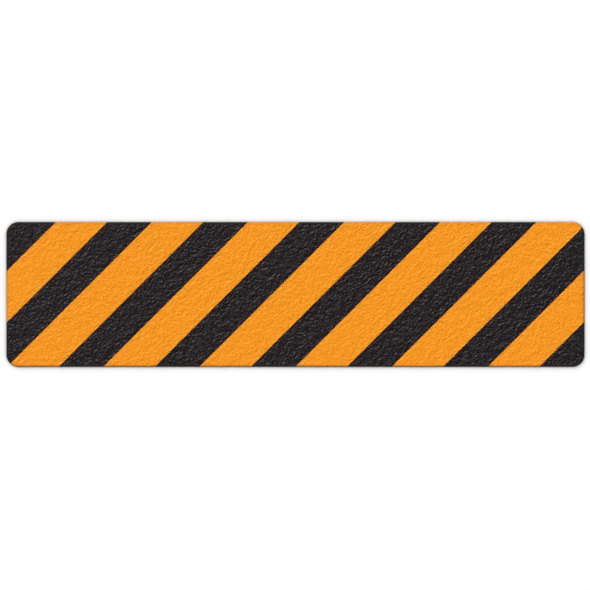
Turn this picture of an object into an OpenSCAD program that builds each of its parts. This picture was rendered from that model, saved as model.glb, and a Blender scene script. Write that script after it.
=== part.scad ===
// Anti-slip floor sign with slanted hazard stripes.
// The sign is one die-cut sheet of embossed vinyl, self-adhesive below and printed above.
// It lies face up. The origin is the centre of its underside, +X runs along the sign, +Y runs
// across it and +Z points out of its face, so the stripes lean from lower left to upper right.

/* [Sheet] */
// Length of the sign
sign_l = 609.6; // [300:0.1:1200]
// Width of the sign
sign_w = 152.4; // [75:0.1:300]
// Thickness of the sheet, from the adhesive to the tops of the emboss
sign_t = 2.0; // [1.7:0.05:4]
// Radius of the corners of the outline
corner_r = 12.7; // [3:0.1:35]
// Radius of the upper edge, where the die presses the face down as it cuts
edge_r = 1.4; // [0.3:0.05:1.7]

/* [Stripes] */
// Distance along the sign from one black stripe to the next
stripe_pitch = 101.4; // [70:0.1:200]
// Width of a black stripe, measured along the sign
black_w = 47.3; // [10:0.1:65]
// Slant of the stripes, measured from the long edge
stripe_angle = 45; // [30:1:75]
// Distance from the middle of the sign to the middle of the orange band nearest it
stripe_shift = 2.2; // [-30:0.1:30]
// Least width of stripe, measured along the sign, that is printed at a corner
least_w = 3; // [1:0.5:10]
// Thickness of the printed colour, which covers the face and wraps the upper edge
print_t = 0.2; // [0.1:0.05:0.45]

/* [Hidden] */
$fn = 64;

// How far the stripe cutters pass the sheet, so that no two faces meet by chance
over = 2;
// Half the length and width between the centres of the corners
mid_x = sign_l / 2 - corner_r;
mid_y = sign_w / 2 - corner_r;
// Where a line with the stripes' slant, drawn against the sheet's far corner, crosses the X axis
reach = mid_x + mid_y / tan(stripe_angle) + corner_r / sin(stripe_angle);
// Middles of the black stripes on the X axis, either side of the shifted middle band
stripe_n = ceil((reach + black_w) / stripe_pitch) + 1;
stripe_mids = [
    for (i = [-stripe_n : stripe_n])
        let (x = stripe_shift + (i + 0.5) * stripe_pitch)
        if (abs(x) - black_w / 2 < reach - least_w) x
];

// Half of the sheet's section: from x = 0 out to an edge at x = half_w, rounded above
module half_section(half_w) {
    square([half_w - edge_r, sign_t]);
    square([half_w, sign_t - edge_r]);
    translate([half_w - edge_r, sign_t - edge_r])
        intersection() {
            circle(edge_r);
            square(edge_r);
        }
}

// Straight bar of sheet, run long in Y and across wide in X, with both long edges rounded above
module bar(run, across) {
    rotate([90, 0, 0])
        linear_extrude(run, center = true) {
            half_section(across / 2);
            mirror([1, 0]) half_section(across / 2);
        }
}

// The whole sheet: two bars that cross, and a turned disc at each corner of the outline
module blank() {
    bar(2 * mid_y, sign_l);
    rotate(90) bar(2 * mid_x, sign_w);
    for (x = [-mid_x, mid_x], y = [-mid_y, mid_y])
        translate([x, y, 0]) rotate_extrude() half_section(corner_r);
}

// Outline of one stripe whose middle crosses the X axis at x, past both long edges
module stripe_outline(x) {
    y = sign_w / 2 + over;
    lean = y / tan(stripe_angle);
    half = black_w / 2;
    polygon([
        [x - half - lean, -y], [x + half - lean, -y],
        [x + half + lean, y], [x - half + lean, y]
    ]);
}

// The black print: a film over the face and its rounded edge, kept where the stripes are
module black_print() {
    intersection() {
        difference() {
            blank();
            translate([0, 0, -print_t]) blank();
        }
        linear_extrude(sign_t + over)
            for (x = stripe_mids) stripe_outline(x);
    }
}

// Sheet of orange vinyl, with a shallow seat for each stripe
module grip_sheet() {
    color("#F7941E")
        difference() {
            blank();
            black_print();
        }
}

// All the black stripes, printed in one pass
module black_stripes() {
    color("#231F20") black_print();
}

grip_sheet();
black_stripes();
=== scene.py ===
# %% [markdown]
# # An embossed floor sign with hazard stripes
# The real object is one sheet of anti-slip vinyl, 24 by 6 inches. It is printed orange and
# black, embossed with a random grain, coated with adhesive below and die-cut to a rounded
# outline. The CAD model holds its size, its two colours and its rounded upper edge. This
# script gives it the grain, which is real relief in the mesh, and the finish of the vinyl.
#
# First the CAD model is loaded. Every size that it can tell is read from it.

# %% Load the frame
import bpy
import numpy as np
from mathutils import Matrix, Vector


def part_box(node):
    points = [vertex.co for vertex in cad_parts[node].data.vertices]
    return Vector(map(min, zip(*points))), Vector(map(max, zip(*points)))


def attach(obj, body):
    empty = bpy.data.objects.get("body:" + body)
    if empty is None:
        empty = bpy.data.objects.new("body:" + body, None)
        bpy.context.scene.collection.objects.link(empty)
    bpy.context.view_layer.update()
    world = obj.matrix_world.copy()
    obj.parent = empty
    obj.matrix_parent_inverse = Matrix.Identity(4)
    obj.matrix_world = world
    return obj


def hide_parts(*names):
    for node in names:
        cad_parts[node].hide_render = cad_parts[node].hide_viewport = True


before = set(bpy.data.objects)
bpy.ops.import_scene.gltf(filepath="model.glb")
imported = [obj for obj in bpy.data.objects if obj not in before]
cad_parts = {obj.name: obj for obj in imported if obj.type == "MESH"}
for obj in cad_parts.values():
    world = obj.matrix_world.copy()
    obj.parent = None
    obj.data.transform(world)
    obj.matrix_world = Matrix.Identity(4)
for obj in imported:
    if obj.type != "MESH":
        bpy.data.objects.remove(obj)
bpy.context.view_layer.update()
MM = 0.001

sheet_low, sheet_high = (np.array(corner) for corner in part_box("grip_sheet"))
HALF_L, HALF_W, THICK = sheet_high
# The print wraps the rounded edge, so its lowest point is how far down the colour goes.
PRINT_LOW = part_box("black_stripes")[0][2]
print(f"sheet {2 * HALF_L / MM:.1f} x {2 * HALF_W / MM:.1f} x {THICK / MM:.2f} mm")
print("CAD nodes:", *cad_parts)
print(f"print reaches down to {PRINT_LOW / MM:.2f} mm above the floor")

# %% [markdown]
# ## The camera
# The photograph looks straight down on the sign and shows no perspective. The black is as dark
# at one end as at the other, so both ends are seen at the same angle. An orthographic camera
# would do that, but a long lens from nine metres also gives natural views from other sides.
# The sign isn't quite in the middle of the picture, so the camera stands just beside its centre.

# %% Place the camera
PICTURE_PX = 590
# Measured on the photograph: the sign's length, and its middle from the top left corner
SIGN_PX = 577.9
SIGN_MIDDLE_PX = (295.41, 294.4)
CAMERA_UP = 9.0
CLIP_NEAR, CLIP_FAR = 0.5, 50
SENSOR = 36.0

px = 2 * HALF_L / SIGN_PX
lens = bpy.data.cameras.new("photo_camera")
lens.sensor_width = SENSOR
lens.lens = SENSOR * CAMERA_UP / (PICTURE_PX * px)
lens.clip_start, lens.clip_end = CLIP_NEAR, CLIP_FAR
camera = bpy.data.objects.new("photo_camera", lens)
camera.location = ((PICTURE_PX / 2 - SIGN_MIDDLE_PX[0]) * px,
                   (SIGN_MIDDLE_PX[1] - PICTURE_PX / 2) * px, THICK + CAMERA_UP)
bpy.context.scene.collection.objects.link(camera)
bpy.context.scene.camera = camera
print(f"one pixel is {px / MM:.3f} mm on the sign, and the lens is {lens.lens:.0f} mm")

# %% [markdown]
# ## The grain as waves
# An embossing roll presses soft pebbles and short ridges into the warm vinyl. They have no
# direction and no pattern, so noise is the natural choice. Blender's noise textures would
# serve, but the waves in a photograph can be measured, and noise can be made of the same waves.
# White noise is taken apart into its waves, each is scaled by its length, and those that are
# shorter or longer than the grain's are faded out.

# %% Make noise from a band of waves
NEVER_ZERO = 1e-9


def band_of_waves(shape, step, short, long, middle, seed):
    """White noise in which a wave of length w is multiplied by w + middle^2 / w, which is least
    at the middle length, then by exp(-(short / w)^4) and exp(-(w / long)^4). The result is
    scaled to a standard deviation of one."""
    noise = np.random.default_rng(seed).standard_normal(shape)
    across = np.fft.fftfreq(shape[0], step)[:, None]
    along = np.fft.rfftfreq(shape[1], step)[None, :]
    length = 1 / np.maximum(np.hypot(across, along), NEVER_ZERO)
    weight = length + middle ** 2 / length
    weight = weight * np.exp(-(short / length) ** 4) * np.exp(-(length / long) ** 4)
    waves = np.fft.irfft2(np.fft.rfft2(noise) * weight, shape)
    return waves / waves.std()


MAP_STEP = 0.3 * MM
MAP_SHAPE = (512, 2048)
GRAIN_SHORT = 1.6 * MM
GRAIN_LONG = 26 * MM
GRAIN_MIDDLE = 2.5 * MM
SEED = 7
waves = band_of_waves(MAP_SHAPE, MAP_STEP, GRAIN_SHORT, GRAIN_LONG, GRAIN_MIDDLE, SEED)
print(f"noise map {MAP_SHAPE[1]} by {MAP_SHAPE[0]}, from {waves.min():.1f} to {waves.max():.1f}")

# %% [markdown]
# ## Pressing the grain
# The map becomes a depth below the tops of the grain. The tops lie in the sheet's upper face,
# as the roll only presses in. Very high and very low points are cut off, which the roll does
# too, because its engraving has a floor.

# %% Press the grain
GRAIN_RMS = 0.13 * MM
GRAIN_REACH = 2.4
valley_map = (GRAIN_REACH - np.clip(waves, -GRAIN_REACH, GRAIN_REACH)) * GRAIN_RMS


def valley(x, y):
    """Depth of the grain at any points: the four nearest values of the map, mixed by distance."""
    row, column = y / MAP_STEP % MAP_SHAPE[0], x / MAP_STEP % MAP_SHAPE[1]
    r, c = row.astype(int), column.astype(int)
    v, u = row - r, column - c
    r, c = r % MAP_SHAPE[0], c % MAP_SHAPE[1]
    r2, c2 = (r + 1) % MAP_SHAPE[0], (c + 1) % MAP_SHAPE[1]
    near = valley_map[r, c] * (1 - u) + valley_map[r, c2] * u
    far = valley_map[r2, c] * (1 - u) + valley_map[r2, c2] * u
    return near * (1 - v) + far * v


slope = np.gradient(valley_map, MAP_STEP)[1].std()
print(f"grain {valley_map.max() / MM:.2f} mm deep, {valley_map.mean() / MM:.2f} mm on average")
print(f"typical slope {slope:.2f}")

# %% [markdown]
# ## The outline
# The die cuts a rectangle with round corners. Two functions describe it: how long the sign is
# at each y, and how far a point lies inside the outline. Both work on whole arrays. The corner's
# radius, and further on the edge's radius and the stripes' sizes, repeat the CAD source, because
# this script can't read it.

# %% Describe the outline
CORNER_R = 12.7 * MM
MID_X, MID_Y = HALF_L - CORNER_R, HALF_W - CORNER_R


def half_length(y):
    """Half of the outline's length at y: to the corner's centre, and on by the corner's circle."""
    into_corner = np.maximum(np.abs(y) - MID_Y, 0)
    return MID_X + np.sqrt(np.maximum(CORNER_R ** 2 - into_corner ** 2, 0))


def distance_in(x, y):
    """Distance from the outline, inwards: the corner's radius less the distance from the
    rectangle through the corners' centres, or the distance to the nearest side within it."""
    over_x, over_y = np.abs(x) - MID_X, np.abs(y) - MID_Y
    outside = np.hypot(np.maximum(over_x, 0), np.maximum(over_y, 0))
    return np.maximum(CORNER_R - outside - np.minimum(np.maximum(over_x, over_y), 0), 0)


print(f"the long edges start {(HALF_L - half_length(HALF_W)) / MM:.1f} mm in from the ends")

# %% [markdown]
# ## The face and its rounded edge
# As the die cuts, it presses the upper edge down, so that nobody trips on it. The face is a
# height over every point of the outline: the grain, brought down to the side wall by a quarter
# of a circle. One function serves both colours, so the grain runs on across every border.

# %% Describe the face
EDGE_R = 1.4 * MM
WALL_TOP = THICK - EDGE_R


def face_height(x, y):
    """Height of the face: from the wall's top to the grain, by the quarter circle
    sqrt(1 - (1 - q)^2), where q is the distance from the outline over the edge's radius."""
    q = np.minimum(distance_in(x, y) / EDGE_R, 1)
    return WALL_TOP + (THICK - valley(x, y) - WALL_TOP) * np.sqrt(1 - (1 - q) ** 2)


inwards = np.array([0.0, 0.2, 0.5, 1.0]) * MM
print("height of the face in mm, over the first mm from an end:",
      np.round(face_height(HALF_L - inwards, np.zeros(4)) / MM, 2))

# %% [markdown]
# ## The stripes
# The stripes lean 45 degrees, so along a border x - y stays the same. That difference names each
# border by one number, which is where it crosses the X axis. A black stripe has two, and what
# lies between two black stripes is an orange band.

# %% Find the borders
STRIPE_PITCH = 101.4 * MM
BLACK_W = 47.3 * MM
STRIPE_SHIFT = 2.2 * MM
STRIPES = 8

black_mids = STRIPE_SHIFT + STRIPE_PITCH * (np.arange(STRIPES) - (STRIPES - 1) / 2)
borders = np.sort(np.concatenate([black_mids - BLACK_W / 2, black_mids + BLACK_W / 2]))
bands = list(zip(borders[:-1], borders[1:]))
is_black = np.arange(len(bands)) % 2 == 0
print(f"{is_black.sum()} black stripes and {(~is_black).sum()} orange bands")

# %% [markdown]
# ## Rows
# Both meshes are grids of rows across the sign, where a row is one value of y. The rows are
# closer together over the rounded edge. A row also goes to each place where a border meets the
# outline at the sign's ends, so that each corner of colour is a true corner of the mesh.

# %% Lay out the rows
CELL = 0.8 * MM
EDGE_STEPS = 5
ROW_NEAR = 0.15 * MM
# In metres: within WELD two places are one, and within ON_LINE a place lies on the outline
WELD = 1e-7
ON_LINE = 1e-6
# Equal turns round the quarter circle, as distances from the outline
edge_steps = EDGE_R * (1 - np.cos(np.linspace(0, np.pi / 2, EDGE_STEPS + 1)))


def meets_ends(border):
    """The values of y at which a border's line leaves the sign by an end or a corner: on a
    straight end y = x - border, and on a corner's circle by the quadratic formula."""
    found = []
    for side in (-1, 1):
        y = side * HALF_L - border
        if abs(y) > MID_Y:
            miss = border + np.sign(y) * MID_Y - side * MID_X
            root = np.sqrt(max(2 * CORNER_R ** 2 - miss ** 2, 0))
            y = np.sign(y) * MID_Y + (side * root - miss) / 2
        if abs(y) < HALF_W and abs(abs(border + y) - half_length(y)) < ON_LINE:
            found.append(y)
    return found


colour_corners = np.array([y for border in borders for y in meets_ends(border)])
knots = np.concatenate([edge_steps - HALF_W, HALF_W - edge_steps])
knots = knots[(np.abs(knots[:, None] - colour_corners) > ROW_NEAR).all(1)]
knots = np.sort(np.concatenate([knots, colour_corners]))
spans = [np.linspace(low, high, int(np.ceil((high - low) / CELL)) + 1)
         for low, high in zip(knots, knots[1:])]
rows = np.unique(np.concatenate(spans))
rows = rows[np.append(True, np.diff(rows) > WELD)]
print(f"{len(rows)} rows, from {np.diff(rows).min() / MM:.3f} to {np.diff(rows).max() / MM:.2f} mm apart")

# %% [markdown]
# ## Columns
# In each row a band runs from its left border to its right one, or to the outline where that
# comes first. Its columns divide that length evenly, with the finer steps of the rounded edge at
# the ends of the sign. A band that lies wholly outside the outline in a row is dead there.

# %% Lay out the columns
ends = half_length(rows)


def band_in_rows(band):
    """The left and right end of a band in every row, and whether it is alive there."""
    left, right = band[0] + rows, band[1] + rows
    alive = (right >= -ends - WELD) & (left <= ends + WELD)
    return np.clip(left, -ends, ends), np.clip(right, -ends, ends), alive


def band_columns(band):
    """Places along every row: even steps from left to right, and at an end that is the sign's
    own, the steps of the rounded edge, which never take more than a third of the row."""
    left, right, alive = band_in_rows(band)
    at_start = bool((band[0] + rows < -ends).any())
    at_end = bool((band[1] + rows > ends).any())
    left, right = left[:, None], right[:, None]
    edge = edge_steps * np.minimum(1, (right - left) / 3 / EDGE_R)
    start, end = left + edge[:, -1:] * at_start, right - edge[:, -1:] * at_end
    even = np.linspace(0, 1, int(np.ceil((end - start).max() / CELL)) + 1)
    parts = [start + (end - start) * even]
    if at_start:
        parts.insert(0, left + edge[:, :-1])
    if at_end:
        parts.append(right - edge[:, -2::-1])
    return np.concatenate(parts, axis=1), alive


print("columns in each band:", *[band_columns(band)[0].shape[1] for band in bands])

# %% [markdown]
# ## From a grid to a closed mesh
# A grid of places becomes a solid in three steps. Each cell is cut along its shorter diagonal,
# the rim of the grid is carried straight down as a wall, and one flat face closes the bottom.

# %% Cut a grid and drop its walls
def grid_triangles(places, index):
    """Two triangles for each cell of the grid, split along the diagonal that is shorter when
    seen from above, all facing up."""
    a, b, d, c = index[:-1, :-1], index[:-1, 1:], index[1:, :-1], index[1:, 1:]
    flat = places[:, :2]
    first = np.linalg.norm(flat[a] - flat[c], axis=-1) <= np.linalg.norm(flat[b] - flat[d], axis=-1)
    one = np.where(first[..., None], np.stack([a, b, c], -1), np.stack([a, b, d], -1))
    two = np.where(first[..., None], np.stack([a, c, d], -1), np.stack([b, c, d], -1))
    return one, two


def rim_loop(index):
    """The grid's rim as one loop, anticlockwise from above."""
    return np.concatenate([index[0, :-1], index[:-1, -1], index[-1, :0:-1], index[:0:-1, 0]])


def drop_wall(places, upper, level):
    """A wall from a loop of vertices straight down to one level: two triangles for each pair of
    neighbours, facing outwards."""
    lower = len(places) + np.arange(len(upper))
    below = places[upper].copy()
    below[:, 2] = np.minimum(below[:, 2], level)
    p, q, p2, q2 = upper, np.roll(upper, -1), lower, np.roll(lower, -1)
    wall = [np.stack([p, p2, q2], -1), np.stack([p, q2, q], -1)]
    return np.concatenate([places, below]), wall, lower


small_grid = np.arange(12).reshape(3, 4)
print("the rim of a grid of 3 by 4 is", rim_loop(small_grid))

# %% [markdown]
# ## Welding
# Where the outline cuts a band off, its columns shrink to a point, and where a seat meets the
# outline, the wall has no height. The doubled vertices are welded. Triangles without an area go,
# and so do two that lie back to back on the same three vertices, which enclose nothing.

# %% Weld a mesh
def weld(places, triangles, flags, loop):
    """One vertex for all that share a place. A triangle stays if its corners are three places and
    no other triangle has the same three. The loop loses its repeats."""
    keys = np.round(places / WELD).astype(np.int64)
    _, kept, same = np.unique(keys, axis=0, return_index=True, return_inverse=True)
    same = same.ravel()
    triangles = same[triangles]
    whole = (np.diff(triangles[:, [0, 1, 2, 0]]) != 0).all(1)
    _, group, times = np.unique(np.sort(triangles, 1), axis=0, return_inverse=True, return_counts=True)
    whole &= times[group.ravel()] == 1
    loop = same[loop]
    return places[kept], triangles[whole], flags[whole], loop[loop != np.roll(loop, 1)]


sample = weld(np.zeros((4, 3)), np.array([[0, 1, 2], [0, 2, 3]]), np.ones(2, bool), np.arange(4))
print(f"four vertices at one place weld to {len(sample[0])}, and {len(sample[1])} triangles are left")

# %% [markdown]
# ## A solid from a grid
# The three steps and the weld together make one solid. Shading is smooth over the face and round
# the outline's wall, and flat elsewhere.

# %% Close a grid
def closed_grid(name, grid, smooth_columns, levels):
    """A solid below a grid of places, with a wall down through each level and a flat face at the
    last one. smooth_columns says which strips of cells are shaded smooth."""
    index = np.arange(grid.shape[0] * grid.shape[1]).reshape(grid.shape[:2])
    places = grid.reshape(-1, 3)
    one, two = grid_triangles(places, index)
    smooth = np.broadcast_to(smooth_columns, one.shape[:2]).ravel()
    triangles, flags = [one.reshape(-1, 3), two.reshape(-1, 3)], [smooth, smooth]
    loop = rim_loop(index)
    on_outline = distance_in(*places[loop, :2].T) < ON_LINE
    outer = on_outline & np.roll(on_outline, -1)
    for level in levels:
        places, wall, loop = drop_wall(places, loop, level)
        triangles += wall
        flags += [outer, outer]
    triangles, flags = np.concatenate(triangles), np.concatenate(flags)
    places, triangles, flags, loop = weld(places, triangles, flags, loop)
    print(f"{name}: {len(places)} vertices, {len(triangles)} triangles, {len(loop)} round the bottom")
    return places, triangles, flags, loop[::-1]


# %% [markdown]
# ## The black stripes
# On the real sign the stripes are ink, far too thin to model as ink. Each stripe is a closed
# solid that fills its seat in the sheet, with the grain on its face, so the black mesh and the
# orange mesh meet along exact borders and neither shows through the other.

# %% Shape the black stripes
def stripe_solid(band, number):
    """A stripe's closed grid over the rows in which it is alive."""
    x, alive = band_columns(band)
    x = x[alive]
    y = np.broadcast_to(rows[alive][:, None], x.shape)
    return closed_grid(f"stripe {number}", np.stack([x, y, face_height(x, y)], -1), True, [PRINT_LOW])


black_bands = [band for band, black in zip(bands, is_black) if black]
black_solids = [stripe_solid(band, number) for number, band in enumerate(black_bands, 1)]

# %% [markdown]
# ## The orange sheet
# The sheet is one mesh: seven raised bands of grain with a flat seat between each pair, and one
# side wall and underside round them all. A row runs through every band from end to end. A seat
# needs only two columns, because the ink covers it. Dead bands fold onto the nearest live one.

# %% Shape the sheet
def sheet_grid():
    """Every row of the sheet through all its bands, and which strips of cells are grain."""
    xs, zs, live, smooth = [], [], [], []
    for band, black in zip(bands, is_black):
        if black:
            left, right, alive = band_in_rows(band)
            x = np.stack([left, right], -1)
            z = np.full(x.shape, PRINT_LOW)
        else:
            x, alive = band_columns(band)
            z = face_height(x, rows[:, None])
        xs.append(x)
        zs.append(z)
        live.append(np.broadcast_to(alive[:, None], x.shape))
        smooth += [not black] * (x.shape[1] - 1) + [False]
    x, z, live = (np.concatenate(part, axis=1) for part in (xs, zs, live))
    first = live.argmax(1)[:, None]
    last = x.shape[1] - 1 - live[:, ::-1].argmax(1)[:, None]
    nearest = np.clip(np.arange(x.shape[1]), first, last)
    x, z = np.take_along_axis(x, nearest, 1), np.take_along_axis(z, nearest, 1)
    return np.stack([x, np.broadcast_to(rows[:, None], x.shape), z], -1), np.array(smooth[:-1])


sheet_solid = closed_grid("sheet", *sheet_grid(), [PRINT_LOW, 0.0])

# %% [markdown]
# ## From numbers to an object
# The arrays go into a Blender mesh as they are. The last face of each solid is its underside,
# which takes the last material. Edges of flat faces are marked sharp, because smooth shading
# would otherwise bend the light along the borders of the colours.

# %% Make objects
def make_piece(name, solids, materials):
    """One object from a list of closed grids. Bottom faces take the last material."""
    places, faces, smooth, slot = [], [], [], []
    count = 0
    for solid_places, triangles, flags, bottom in solids:
        places.append(solid_places)
        faces += (triangles + count).tolist() + [(bottom + count).tolist()]
        smooth += flags.tolist() + [False]
        slot += [0] * len(triangles) + [len(materials) - 1]
        count += len(solid_places)
    mesh = bpy.data.meshes.new(name)
    mesh.from_pydata(np.concatenate(places).tolist(), [], faces)
    mesh.polygons.foreach_set("use_smooth", smooth)
    mesh.polygons.foreach_set("material_index", slot)
    edge_of_corner = np.empty(len(mesh.loops), np.int32)
    mesh.loops.foreach_get("edge_index", edge_of_corner)
    corners_of_face = np.empty(len(mesh.polygons), np.int32)
    mesh.polygons.foreach_get("loop_total", corners_of_face)
    flat_corner = np.repeat(~np.array(smooth), corners_of_face)
    sharp = np.zeros(len(mesh.edges), bool)
    sharp[edge_of_corner[flat_corner]] = True
    mesh.edges.foreach_set("use_edge_sharp", sharp)
    for material in materials:
        mesh.materials.append(material)
    mesh.update()
    piece = bpy.data.objects.new(name, mesh)
    bpy.context.scene.collection.objects.link(piece)
    print(f"{name}: {len(mesh.loops) - 2 * len(faces)} triangles, {sharp.sum()} sharp edges")
    return piece


# %% [markdown]
# ## Writing materials as sums
# Shader maths is easier to read as an expression than as a list of nodes. This small class wraps
# one socket, so that 1 - wire * 2 adds the Math nodes by itself.

# %% Wrap sockets
class Wire:
    """An output of a node that takes part in sums."""

    def __init__(self, tree, socket=None):
        self.tree, self.socket = tree, socket

    def node(self, kind, settings=None, inputs=None, output=0):
        """Adds a node, makes its settings, feeds its inputs and returns one output as a Wire."""
        made = self.tree.nodes.new("ShaderNode" + kind)
        for key, value in (settings or {}).items():
            setattr(made, key, value)
        for key, value in (inputs or {}).items():
            if isinstance(value, Wire):
                self.tree.links.new(value.socket, made.inputs[key])
            else:
                made.inputs[key].default_value = value
        return Wire(self.tree, made.outputs[output]) if made.outputs else None

    def math(self, operation, *values):
        """A Math node on the values, in their order."""
        return self.node("Math", {"operation": operation}, dict(enumerate(values)))

    def __add__(self, other):
        return self.math("ADD", self, other)

    def __sub__(self, other):
        return self.math("SUBTRACT", self, other)

    def __rsub__(self, other):
        return self.math("SUBTRACT", other, self)

    def __mul__(self, other):
        return self.math("MULTIPLY", self, other)

    def __pow__(self, other):
        return self.math("POWER", self, other)

    __radd__, __rmul__ = __add__, __mul__

    def larger(self, other):
        return self.math("MAXIMUM", self, other)

    def smaller(self, other):
        return self.math("MINIMUM", self, other)

    def part(self, axis):
        """One of a vector's three numbers."""
        return self.node("SeparateXYZ", None, {0: self}, axis)

    def mapped(self, low, high, to_low=0.0, to_high=1.0):
        """This value carried from one range to another, and held at the ends."""
        return self.node("MapRange", None, {0: self, 1: low, 2: high, 3: to_low, 4: to_high})

    def tinted(self, colour):
        """A colour made lighter or darker by this value."""
        return self.node("VectorMath", {"operation": "SCALE"}, {"Vector": colour, "Scale": self})

    def noise(self, length, detail):
        """Noise about zero at this place, with features about length metres long."""
        return self.node("TexNoise", None, {"Vector": self, "Scale": 1 / length, "Detail": detail}) - 0.5


wires = bpy.data.node_groups.new("wires", "ShaderNodeTree")
1 - Wire(wires).node("TexCoord", output="Object").part("X") * 2
print(f"1 - x * 2 took {len(wires.nodes)} nodes, with the coordinates")
bpy.data.node_groups.remove(wires)

# %% [markdown]
# ## How each material starts and ends
# Each starts from the object's own coordinates, which go with the piece wherever it is moved, and
# ends in one Principled shader.

# %% Start and finish a material
def new_material(name):
    """An empty node material, and the object's own coordinates as a Wire."""
    material = bpy.data.materials.new(name)
    material.use_nodes = True
    material.node_tree.nodes.clear()
    return material, Wire(material.node_tree).node("TexCoord", output="Object")


def finish_material(place, sockets):
    """Feeds a Principled shader and the material's output."""
    place.node("OutputMaterial", None, {"Surface": place.node("BsdfPrincipled", None, sockets)})


empty, place = new_material("empty")
print(f"a new material holds {len(empty.node_tree.nodes)} node, which gives {place.socket.name} coordinates")
bpy.data.materials.remove(empty)

# %% [markdown]
# ## Printed vinyl
# Both colours share one surface. The tops of the grain are a little smoother than its valleys,
# because the roll has burnished them, and the valleys are a little darker, which is painted shade.
# A finer grain, too small for the mesh, is bump, and its pits are a little darker and its bumps
# lighter, which is painted shade too. Along the outline the die has dulled the rim, and a band
# over the rounded edge is painted darker, as painted shade.

# %% Measure the rim in the shader
RIM_W = 2.6 * MM


def rim_distance(place):
    """distance_in once more, by Math nodes, so that a finish can follow the outline."""
    over_x = place.math("ABSOLUTE", place.part("X")) - float(MID_X)
    over_y = place.math("ABSOLUTE", place.part("Y")) - float(MID_Y)
    outside = (over_x.larger(0.0) ** 2.0 + over_y.larger(0.0) ** 2.0) ** 0.5
    return CORNER_R - outside - over_x.larger(over_y).smaller(0.0)


print(f"the rim's finish fades out over {RIM_W / MM:.1f} mm")

# %% Finish the printed vinyl
ORANGE = (0.948, 0.316, 0.013)
BLACK = (0.0114, 0.0070, 0.0080)
GLOSS_ORANGE = 0.25
GLOSS_BLACK = 0.55
# The finer grain: its length, its depth as bump, how far it darkens its pits and lightens its bumps as
# painted shade, and how far it moves roughness
FINE_LENGTH = 1.9 * MM
FINE_DEEP = 0.22 * MM
FINE_PIT_SHADE = 0.30
FINE_ROUGH = 0.6
# Uneven ink
CLOUD_LENGTH = 20 * MM
CLOUD_TINT = 0.05
CLOUD_ROUGH = 0.03
# From the valleys to the tops of the grain: painted shade in the valleys, and roughness
VALLEY_SHADE = 0.05
ROUGH_VALLEY = 0.36
ROUGH_TOP = 0.31
# At the outline itself: painted shade over the rounded edge, and roughness
RIM_SHADE = 0.65
RIM_ROUGH = 0.6


def printed_vinyl(name, colour, gloss):
    """Embossed vinyl in one colour of ink. gloss is the strength of its sheen."""
    material, place = new_material(name)
    top = place.part("Z").mapped(float(THICK - valley_map.max()), float(THICK))
    rim = 1 - rim_distance(place).mapped(0.0, RIM_W)
    cloud = place.noise(CLOUD_LENGTH, detail=3.0)
    fine = place.noise(FINE_LENGTH, detail=2.0)
    # light scales the ink's colour: painted shade in the valleys, in the fine pits and over the rim, and the
    # uneven ink's own tone
    light = ((1 - (1 - top) * VALLEY_SHADE) * (1 - rim * (1 - RIM_SHADE))
             * (1 + cloud * CLOUD_TINT) * (1 + fine * FINE_PIT_SHADE))
    rough = (top.mapped(0.0, 1.0, ROUGH_VALLEY, ROUGH_TOP) + rim * RIM_ROUGH
             + cloud * CLOUD_ROUGH + fine * FINE_ROUGH)
    bump = place.node("Bump", None, {"Strength": 1.0, "Distance": FINE_DEEP, "Height": fine})
    finish_material(place, {"Base Color": light.tinted(colour), "Roughness": rough,
                            "Normal": bump, "Specular IOR Level": gloss})
    print(f"{name}: {len(material.node_tree.nodes)} nodes")
    return material


orange_vinyl = printed_vinyl("orange_vinyl", ORANGE, GLOSS_ORANGE)
black_print = printed_vinyl("black_print", BLACK, GLOSS_BLACK)

# %% [markdown]
# ## The adhesive underside
# Nobody sees the underside of a floor sign in use, and the photograph doesn't show it. It is the
# same orange vinyl under a clear coat of adhesive, which is smoother than the face. The coat is
# drawn out in faint streaks along the sheet, so noise that is stretched that way makes it.

# %% Finish the underside
BACK_DULL = (0.82, 0.290, 0.045, 1)
BACK_BRIGHT = (0.86, 0.325, 0.065, 1)
BACK_SMOOTH, BACK_ROUGH = 0.22, 0.4
ADHESIVE_IOR = 1.47
STREAK_W = 3 * MM
STREAK_DRAWN = (0.06, 1.0, 1.0)
STREAK_EDGE = 0.2
STREAK_DEEP = 0.01 * MM


def adhesive_back():
    """Clear adhesive over orange vinyl: the streaks change its colour and its gloss."""
    material, place = new_material("adhesive_back")
    drawn = place.node("Mapping", None, {"Vector": place, "Scale": STREAK_DRAWN})
    streak = drawn.noise(STREAK_W, detail=3.0).mapped(-STREAK_EDGE, STREAK_EDGE)
    colour = place.node("Mix", {"data_type": "RGBA"}, {0: streak, 6: BACK_DULL, 7: BACK_BRIGHT}, 2)
    bump = place.node("Bump", None, {"Strength": 1.0, "Distance": STREAK_DEEP, "Height": streak})
    finish_material(place, {"Base Color": colour, "Normal": bump, "IOR": ADHESIVE_IOR,
                            "Roughness": streak.mapped(0.0, 1.0, BACK_SMOOTH, BACK_ROUGH)})
    print(f"{material.name}: {len(material.node_tree.nodes)} nodes")
    return material


# %% [markdown]
# ## Dress the frame
# Each new piece stands for the CAD node that it follows, which is hidden, and rides on the
# only body that a part with no joints has.

# %% Put the pieces on the frame
def dress(piece, node):
    """Fastens a piece to the frame in place of one CAD node."""
    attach(piece, "root")
    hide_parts(node)
    print(f"{piece.name} stands for {node}")


embossed_sheet = make_piece("embossed_sheet", [sheet_solid], [orange_vinyl, adhesive_back()])
embossed_stripes = make_piece("embossed_stripes", black_solids, [black_print])
dress(embossed_sheet, "grip_sheet")
dress(embossed_stripes, "black_stripes")
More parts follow.
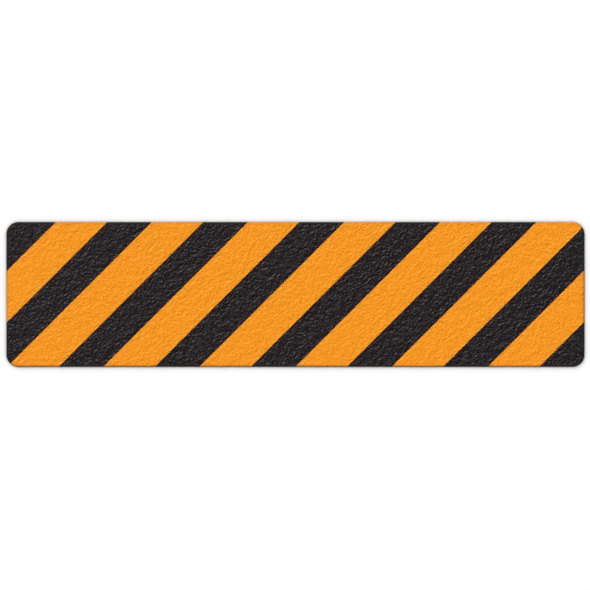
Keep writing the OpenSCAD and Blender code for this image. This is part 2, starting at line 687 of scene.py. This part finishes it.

# %% [markdown]
# ## The floor
# The photograph's background is pure white, with a soft shadow close round the sign. A floor
# painted that white would throw too much light back at the sign's edges, so the paint is light
# grey. What the camera, a mirror or a glass would see of it is lifted to white by a little glow,
# which lights nothing else. Near the sign both are darkened by an Ambient Occlusion node raised to
# a power, which is painted shade that deepens the sign's contact shadow on the floor.

# %% Lay the floor
FLOOR_HALF = 3.0
FLOOR_Z = -0.05 * MM
FLOOR_PAINT = 0.64
FLOOR_GLOW = 0.38
# Reach, power and samples of the painted contact shade round the sign
CONTACT_SHADE_REACH = 9 * MM
CONTACT_SHADE_POWER = 2.4
CONTACT_SHADE_SAMPLES = 8

corners = FLOOR_HALF * np.array([(-1, -1, 0), (1, -1, 0), (1, 1, 0), (-1, 1, 0)]) + (0, 0, FLOOR_Z)
floor_mesh = bpy.data.meshes.new("floor")
floor_mesh.from_pydata(corners.tolist(), [], [(0, 1, 2, 3)])
floor = bpy.data.objects.new("floor", floor_mesh)
bpy.context.scene.collection.objects.link(floor)

floor_white, place = new_material("floor_white")
seen = place.node("LightPath", output="Is Camera Ray")
for other in ("Is Glossy Ray", "Is Transmission Ray"):
    seen = seen.larger(place.node("LightPath", output=other))
# Occlusion to a power darkens the floor's paint and glow near the sign: painted shade
contact_shade = place.node("AmbientOcclusion", {"samples": CONTACT_SHADE_SAMPLES}, {"Distance": CONTACT_SHADE_REACH}, "AO") ** CONTACT_SHADE_POWER
finish_material(place, {"Base Color": contact_shade * FLOOR_PAINT, "Roughness": 1.0, "Specular IOR Level": 0.0,
                        "Emission Color": contact_shade * seen * FLOOR_GLOW, "Emission Strength": 1.0})
floor_mesh.materials.append(floor_white)
print(f"floor {2 * FLOOR_HALF:.0f} m wide, paint {FLOOR_PAINT} and glow {FLOOR_GLOW}")

# %% [markdown]
# ## Two lamps
# In the photograph the grain is bright to the upper left and the shadow falls to the lower
# right, so the lamps stand at the upper left. A large, low one is the key: it models the grain
# and the edges. Seen from the opposite side, its mirror image would wash the colours out, so it
# is hidden from glossy rays, as a photographer takes glare away with a polarising filter. A
# smaller lamp, higher up, gives the tops of the grain their sparkle. Suns with a wide angle light
# both ends of the sign alike, and with the room they add up to a plain level of light, at which a
# colour renders about as it is written.

# %% Set the lamps
from mathutils import Vector

LAMP_AZIMUTH = np.radians(119)
LAMP_FAR = 2.0


def sun_lamp(name, elevation, spread, share, shines):
    """A sun that gives the floor a share of a plain level of light, so its strength is that
    share times pi, over the sine of its elevation."""
    height = np.radians(elevation)
    towards = Vector((np.cos(LAMP_AZIMUTH) * np.cos(height),
                      np.sin(LAMP_AZIMUTH) * np.cos(height), np.sin(height)))
    light = bpy.data.lights.new(name, "SUN")
    light.angle = np.radians(spread)
    light.energy = share * np.pi / towards.z
    lamp = bpy.data.objects.new(name, light)
    lamp.location = towards * LAMP_FAR
    lamp.rotation_mode = "QUATERNION"
    lamp.rotation_quaternion = towards.to_track_quat("Z", "Y")
    lamp.visible_glossy = shines
    bpy.context.scene.collection.objects.link(lamp)
    print(f"the {name} lamp gives {share:.0%} of the light")


KEY_ELEVATION = 31
KEY_SPREAD = 50
KEY_SHARE = 0.583
SHINE_ELEVATION = 60
SHINE_SPREAD = 32
SHINE_SHARE = 0.25
sun_lamp("key", KEY_ELEVATION, KEY_SPREAD, KEY_SHARE, False)
sun_lamp("shine", SHINE_ELEVATION, SHINE_SPREAD, SHINE_SHARE, True)

# %% [markdown]
# ## The room
# Black vinyl shows what is straight above it, and in the photograph it stays black. So the room
# is white round the horizon, where the views from the side look, and fades to dark overhead, as
# (1 - z)^f. A level floor then gets 2 / ((f + 1)(f + 2)) of the light of an all white room.

# %% Light the room
ROOM_FADE = 2.0
studio = bpy.data.worlds.new("studio")
studio.use_nodes = True
studio.node_tree.nodes.clear()
direction = Wire(studio.node_tree).node("TexCoord", output="Generated")
white = (1 - direction.part("Z").mapped(0.0, 1.0)) ** ROOM_FADE
background = direction.node("Background", None, {"Color": (1, 1, 1, 1), "Strength": white})
direction.node("OutputWorld", None, {"Surface": background})
bpy.context.scene.world = studio
bpy.context.scene.view_settings.view_transform = "Standard"
print(f"the room gives {2 / (ROOM_FADE + 1) / (ROOM_FADE + 2):.0%} of the light")
